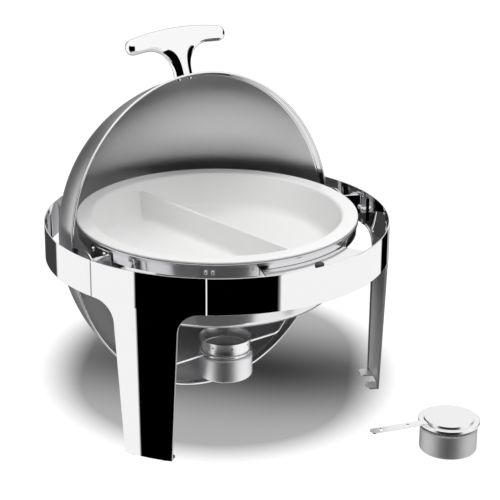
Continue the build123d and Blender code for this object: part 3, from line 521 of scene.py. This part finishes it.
def throat(angle):
    """Points of the round throat between the stem and the bar, an arc of a circle beside the stem."""
    return np.stack([stem_half + throat_radius * (1 + np.cos(angle)),
                     throat_reach + throat_radius * np.sin(angle)], -1)


def handle_half():
    """Right half of the T: outline points, from the stem's foot round to the middle of the bar's top, and
    for each the point of the middle line (up the stem, then along the bar) that its section starts from."""
    stem = np.linspace(stem_start, throat_reach, stem_rows)[:-1]
    turn_low = np.linspace(np.pi, throat_split, low_throat_rows)
    turn_high = np.linspace(throat_split, throat_start, high_throat_rows)[1:]
    spine_high = np.linspace(0, throat(throat_start)[0], high_throat_rows)[1:]
    spine_end = np.linspace(spine_high[-1], bar_tip, bar_end_rows)[1:]
    cap = np.linspace(-np.pi / 2, np.pi / 2, tip_rows)[1:]
    back = np.concatenate([spine_end[::-1], spine_high[::-1], [0.0]])[1:]
    tip_half = (bar_upper(bar_tip) - bar_lower(bar_tip)) / 2
    tip = np.stack([bar_tip + (bar_half - bar_tip) * np.cos(cap),
                    bar_middle(bar_tip) + tip_half * np.sin(cap)], -1)
    outline = np.concatenate([
        np.stack([np.full_like(stem, stem_half), stem], -1), throat(turn_low), throat(turn_high),
        np.stack([spine_end, bar_lower(spine_end)], -1), tip, np.stack([back, bar_upper(back)], -1),
    ])
    up_stem = np.concatenate([stem, np.linspace(throat_reach, bar_middle(0.0), low_throat_rows)])
    along_bar = np.concatenate([spine_high, spine_end, np.full_like(cap, bar_tip), back])
    spine = np.concatenate([np.stack([0 * up_stem, up_stem], -1),
                            np.stack([along_bar, bar_middle(along_bar)], -1)])
    return outline, spine


def handle_surface():
    """Each row is half an ellipse from the middle line's front to its back, by way of the outline:
    spine + (outline - spine) sin t, with depth half_depth cos t. The foot's rows lie on the dome."""
    outline, spine = (np.concatenate([half, (half * [-1, 1])[-2::-1]]) for half in handle_half())
    arc = np.linspace(0, np.pi, section_points)[None, :]
    x = spine[:, :1] + (outline - spine)[:, :1] * np.sin(arc)
    reach = spine[:, 1:] + (outline - spine)[:, 1:] * np.sin(arc)
    depth = handle_half_depth * np.cos(arc) + 0 * reach
    for row in (0, -1):
        reach[row] = np.sqrt(stem_foot ** 2 - x[row] ** 2 - depth[row] ** 2)
    y = pivot_place[1] + reach * np.cos(handle_rise) - depth * np.sin(handle_rise)
    z = pivot_place[2] + reach * np.sin(handle_rise) + depth * np.cos(handle_rise)
    return np.stack([x, y, z], -1)


handle_points = handle_surface()
handle_rows, handle_columns = handle_points.shape[:2]
handle_foot = list(range(handle_columns)) + [(handle_rows - 1) * handle_columns + column
                                             for column in range(handle_columns - 2, 0, -1)]
handle_quads = grid_faces(handle_rows, handle_columns, turned_over=True)
handle_chrome = polished_steel("handle_chrome", (0.93, 0.93, 0.94), 0.0, 0.03, 0.01)
handle_piece = make_piece("handle_casting", handle_points, handle_quads, [handle_foot],
                          "lid", "lid_handle", "cast_handle", handle_chrome)
handle_seam = handle_piece.modifiers.new("seam", "WELD")
handle_seam.merge_threshold = weld_reach

# ---- pans ----
# A drawn steel water pan hangs in the hoop; a white glazed pan with a low divider
# sits in its mouth and takes the food.


def glazed_white(name, colour):
    """Glazed ware: a nearly white body that varies faintly, under a clear coat with a slight ripple."""
    material, nodes, links, shader = new_material(name)
    shader.inputs["Roughness"].default_value = 0.35
    shader.inputs["Coat Weight"].default_value = 0.35
    shader.inputs["Coat Roughness"].default_value = 0.06
    place, ramp = nodes.new("ShaderNodeTexCoord"), nodes.new("ShaderNodeMix")
    cloud, ripple = nodes.new("ShaderNodeTexNoise"), nodes.new("ShaderNodeTexNoise")
    bump = nodes.new("ShaderNodeBump")
    cloud.inputs["Scale"].default_value = 9.0
    ripple.inputs["Scale"].default_value = 60.0
    ramp.data_type = "RGBA"
    ramp.inputs["A"].default_value = (*[value * 0.985 for value in colour], 1.0)
    ramp.inputs["B"].default_value = (*colour, 1.0)
    bump.inputs["Strength"].default_value = 0.04
    bump.inputs["Distance"].default_value = 0.0005
    links.new(place.outputs["Object"], cloud.inputs["Vector"])
    links.new(place.outputs["Object"], ripple.inputs["Vector"])
    links.new(cloud.outputs["Fac"], ramp.inputs["Factor"])
    links.new(ramp.outputs["Result"], shader.inputs["Base Color"])
    links.new(ripple.outputs["Fac"], bump.inputs["Height"])
    links.new(bump.outputs["Normal"], shader.inputs["Normal"])
    return material


dress(glazed_white("white_glaze", (0.93, 0.93, 0.925)), "food_pan")
pan_steel = polished_steel("pan_steel", (0.80, 0.80, 0.81), 0.14, 0.06, 0.03)
dress(pan_steel, "water_pan")

# ---- burner and cradle ----
# A spun fuel cup with a grooved neck, a flared and vented collar on its lip, a fibre
# wick, and a bent wire cradle that clips round the neck.
burner_centre = (0.0, stand_y - 0.020, 0.0)
collar_steel = brushed_steel("collar_steel", (0.92, 0.92, 0.93), 0.20, 0.12, centre=burner_centre)
burner_steel = brushed_steel("burner_steel", (0.93, 0.93, 0.94), 0.36, 0.14, centre=burner_centre)
dress(collar_steel, "burner_collar")
dress(burner_steel, "burner_cup")
cradle_steel = polished_steel("cradle_steel", (0.90, 0.90, 0.91), 0.05, 0.05, 0.03)
dress(cradle_steel, "burner_cradle")


def wick_fibre(name, colour):
    """Pressed fibre: mottled pale tufts with a rough, fully matt face."""
    material, nodes, links, shader = new_material(name)
    shader.inputs["Roughness"].default_value = 0.95
    place, ramp = nodes.new("ShaderNodeTexCoord"), nodes.new("ShaderNodeMix")
    tufts, bump = nodes.new("ShaderNodeTexNoise"), nodes.new("ShaderNodeBump")
    tufts.inputs["Scale"].default_value = 420.0
    tufts.inputs["Detail"].default_value = 6.0
    ramp.data_type = "RGBA"
    ramp.inputs["A"].default_value = (*[value * 0.55 for value in colour], 1.0)
    ramp.inputs["B"].default_value = (*colour, 1.0)
    bump.inputs["Strength"].default_value = 0.7
    bump.inputs["Distance"].default_value = 0.001
    links.new(place.outputs["Object"], tufts.inputs["Vector"])
    links.new(tufts.outputs["Fac"], ramp.inputs["Factor"])
    links.new(ramp.outputs["Result"], shader.inputs["Base Color"])
    links.new(tufts.outputs["Fac"], bump.inputs["Height"])
    links.new(bump.outputs["Normal"], shader.inputs["Normal"])
    return material


fibre = wick_fibre("wick_fibre", (0.72, 0.70, 0.66))
dress(fibre, "burner_wick")

# ---- fuel holder and its cover ----
# A second cup of the same pressing stands on the table under a pressed cover with a
# flat strip handle, which snuffs the flame.
holder_centre = (0.135, stand_y - 0.325, 0.0)
holder_steel = brushed_steel("holder_steel", (0.66, 0.66, 0.67), 0.46, 0.14, centre=holder_centre)
cover_steel = brushed_steel("cover_steel", (0.90, 0.90, 0.91), 0.19, 0.08)
dress(holder_steel, "holder_cup")
dress(fibre, "holder_wick")
dress(cover_steel, "holder_cover", "cover_handle")

# ---- table, light and camera ----
# A pale table top under soft light from all round, with two broad lamps overhead. The
# table's own glow fades out under the stand, in two nested ellipses, and so paints the
# shadow there. Only polished metal shows the room, with its dark and light walls.
table_half = 20.0
# Two nested ellipses where the table's glow is held low: a painted shadow under the stand.
painted_shadow_rim = {"centre": (0.052, stand_y + 0.063), "turn": -0.568, "width": 0.845, "length": 1.0,
             "start": 0.204, "end": 0.329, "level": 1.0}
painted_shadow_core = {"centre": (0.076, stand_y + 0.037), "turn": 0.716, "width": 0.385, "length": 1.25,
              "start": 0.0, "end": 0.541, "level": 0.36}
table = bpy.data.meshes.new("table_top")
table_corners = [(-table_half, -table_half, 0), (table_half, -table_half, 0), (table_half, table_half, 0),
                 (-table_half, table_half, 0)]
table.from_pydata(table_corners, [], [(0, 1, 2, 3)])
table_top = bpy.data.objects.new("table_top", table)
bpy.context.scene.collection.objects.link(table_top)
table_top.visible_glossy = False

table_paint = bpy.data.materials.new("table_paint")
table_paint.use_nodes = True
table_nodes, table_links = table_paint.node_tree.nodes, table_paint.node_tree.links
table_nodes.clear()
table_place, table_path = table_nodes.new("ShaderNodeTexCoord"), table_nodes.new("ShaderNodeLightPath")


def painted_shadow_glow_level(centre, turn, width, length, start, end, level):
    """Smooth rise from 0 to a level between two distances from a centre, in a turned ellipse whose axes
    are width and length times those distances. Held low under the stand, the glow paints the shadow there."""
    place, distance = table_nodes.new("ShaderNodeMapping"), table_nodes.new("ShaderNodeVectorMath")
    rise = table_nodes.new("ShaderNodeMapRange")
    place.vector_type = "TEXTURE"
    place.inputs["Location"].default_value = (*centre, 0.0)
    place.inputs["Rotation"].default_value = (0.0, 0.0, turn)
    place.inputs["Scale"].default_value = (width, length, 1.0)
    distance.operation = "LENGTH"
    rise.interpolation_type = "SMOOTHSTEP"
    rise.inputs["From Min"].default_value = start
    rise.inputs["From Max"].default_value = end
    rise.inputs["To Max"].default_value = level
    table_links.new(table_place.outputs["Object"], place.inputs["Vector"])
    table_links.new(place.outputs["Vector"], distance.inputs[0])
    table_links.new(distance.outputs["Value"], rise.inputs["Value"])
    return rise.outputs["Result"]


table_diffuse, table_glow = table_nodes.new("ShaderNodeBsdfDiffuse"), table_nodes.new("ShaderNodeEmission")
glow_with_painted_shadow, table_share = table_nodes.new("ShaderNodeMath"), table_nodes.new("ShaderNodeMath")
table_add, table_out = table_nodes.new("ShaderNodeAddShader"), table_nodes.new("ShaderNodeOutputMaterial")
# The table's own colour is dark. It looks pale only where the glow is full, and the painted shadow shows
# where the glow is held low.
table_diffuse.inputs["Color"].default_value = (0.12, 0.12, 0.12, 1.0)
glow_with_painted_shadow.operation = "MAXIMUM"
table_share.operation = "MULTIPLY"
table_links.new(painted_shadow_glow_level(**painted_shadow_core), glow_with_painted_shadow.inputs[0])
table_links.new(painted_shadow_glow_level(**painted_shadow_rim), glow_with_painted_shadow.inputs[1])
table_links.new(table_path.outputs["Is Camera Ray"], table_share.inputs[0])
table_links.new(glow_with_painted_shadow.outputs[0], table_share.inputs[1])
table_links.new(table_share.outputs[0], table_glow.inputs["Strength"])
table_links.new(table_diffuse.outputs[0], table_add.inputs[0])
table_links.new(table_glow.outputs[0], table_add.inputs[1])
table_links.new(table_add.outputs[0], table_out.inputs["Surface"])
table.materials.append(table_paint)

soft_light = 0.49
ceiling = 1.0
wall_starts = [(-180.0, 0.05), (-169.0, 1.0), (-92.0, 0.0), (4.5, 1.0), (103.0, 0.0), (121.0, 0.38),
               (158.0, 0.05)]
wall_edge = 0.0015
wall_top = (0.56, 0.46)
low_wall_turn = (1.75, 1.85)
low_wall_drop = 0.26
screen_sides = ((1.05, 1.15), (2.75, 2.65))
screen_edges = ((-0.29, -0.22), (0.26, 0.18))
skirting_top = (-0.56, -0.64)
skirting_level = 0.12
world = bpy.data.worlds.new("studio")
bpy.context.scene.world = world
world.use_nodes = True
room, room_links = world.node_tree.nodes, world.node_tree.links
room.clear()


def room_math(operation, first, second=0.0, third=None):
    """One arithmetic node of the room's light: an input is a number or another node's output."""
    node = room.new("ShaderNodeMath")
    node.operation = operation
    for index, value in enumerate((first, second, third)):
        if value is None:
            continue
        if isinstance(value, (int, float)):
            node.inputs[index].default_value = value
        else:
            room_links.new(value, node.inputs[index])
    return node.outputs[0]


def room_step(value, start, end):
    """Soft step from 0 at start to 1 at end."""
    node = room.new("ShaderNodeMapRange")
    node.interpolation_type = "SMOOTHSTEP"
    node.inputs["From Min"].default_value = start
    node.inputs["From Max"].default_value = end
    room_links.new(value, node.inputs["Value"])
    return node.outputs["Result"]


# The walls go round the stand, each from its own angle in degrees off the front and
# at its own level. Heights and turns are those of the direction looked in.
room_direction, room_split = room.new("ShaderNodeTexCoord"), room.new("ShaderNodeSeparateXYZ")
room_links.new(room_direction.outputs["Generated"], room_split.inputs[0])
room_x, room_y, room_z = room_split.outputs
room_turn = room_math("ARCTAN2", room_x, room_math("MULTIPLY", room_y, -1.0))
room_share = room_math("MULTIPLY_ADD", room_turn, 0.5 / np.pi, 0.5)
walls = room.new("ShaderNodeValToRGB")
room_links.new(room_share, walls.inputs[0])
stops = walls.color_ramp.elements
stops[0].position, stops[0].color = 0.0, (wall_starts[0][1],) * 3 + (1.0,)
stops[1].position, stops[1].color = 1.0, (wall_starts[-1][1],) * 3 + (1.0,)
for (_, level_before), (wall_start, level) in zip(wall_starts, wall_starts[1:]):
    share = wall_start / 360 + 0.5
    stops.new(share - wall_edge).color = (level_before,) * 3 + (1.0,)
    stops.new(share + wall_edge).color = (level,) * 3 + (1.0,)
low_wall = room_step(room_turn, *low_wall_turn)
wall_height = room_step(room_math("MULTIPLY_ADD", low_wall, low_wall_drop, room_z), *wall_top)
screen_side = room_math("MULTIPLY", *(room_step(room_turn, *side) for side in screen_sides))
screen_height = room_math("MULTIPLY", *(room_step(room_z, *edge) for edge in screen_edges))
no_screen = room_math("SUBTRACT", 1.0, room_math("MULTIPLY", screen_height, screen_side))
skirting = room_math("MULTIPLY", room_step(room_z, *skirting_top), skirting_level)
wall_level = room_math("MAXIMUM", skirting, room_math("MULTIPLY", walls.outputs["Color"], no_screen))
room_drop = room_math("MULTIPLY", wall_height, room_math("SUBTRACT", ceiling, wall_level))
mirror_level = room_math("SUBTRACT", ceiling, room_drop)
room_path, room_light = room.new("ShaderNodeLightPath"), room.new("ShaderNodeBackground")
room_mix, room_mix_camera = room.new("ShaderNodeMix"), room.new("ShaderNodeMix")
room_mix.inputs["A"].default_value = soft_light
room_mix_camera.inputs["B"].default_value = 1.0
room_light.inputs["Color"].default_value = (1.0, 1.0, 1.0, 1.0)
room_links.new(room_path.outputs["Is Glossy Ray"], room_mix.inputs["Factor"])
room_links.new(mirror_level, room_mix.inputs["B"])
room_links.new(room_path.outputs["Is Camera Ray"], room_mix_camera.inputs["Factor"])
room_links.new(room_mix.outputs["Result"], room_mix_camera.inputs["A"])
room_links.new(room_mix_camera.outputs["Result"], room_light.inputs["Strength"])
room_links.new(room_light.outputs[0], room.new("ShaderNodeOutputWorld").inputs["Surface"])

lamp_spot = Vector((0.0, stand_y, 0.2))
for lamp_name, lamp_size, lamp_watts, lamp_place in (
    ("top_lamp", 0.7, 7.0, (-0.30, -0.20, 2.1)),
    ("front_lamp", 0.9, 17.0, (0.14, -0.78, 2.1)),
):
    lamp_data = bpy.data.lights.new(lamp_name, "AREA")
    lamp_data.size = lamp_size
    lamp_data.energy = lamp_watts
    lamp = bpy.data.objects.new(lamp_name, lamp_data)
    bpy.context.scene.collection.objects.link(lamp)
    lamp.location = lamp_place
    lamp.rotation_mode = "QUATERNION"
    lamp.rotation_quaternion = (lamp_spot - Vector(lamp_place)).to_track_quat("-Z", "Y")
    lamp.visible_glossy = False

camera_data = bpy.data.cameras.new("camera")
camera_data.lens = 116.07
camera_data.sensor_width = 36.0
camera_data.shift_x = 0.0661
camera_data.shift_y = -0.0698
camera_data.clip_end = 60.0
camera = bpy.data.objects.new("camera", camera_data)
bpy.context.scene.collection.objects.link(camera)
camera.location = (-1.246, -1.660 + stand_y, 0.9925)
camera.rotation_mode = "QUATERNION"
camera.rotation_quaternion = Vector((0.5661, 0.7542, -0.3327)).to_track_quat("-Z", "Y")
bpy.context.scene.camera = camera
bpy.context.scene.view_settings.view_transform = "Standard"

bpy.context.view_layer.update()
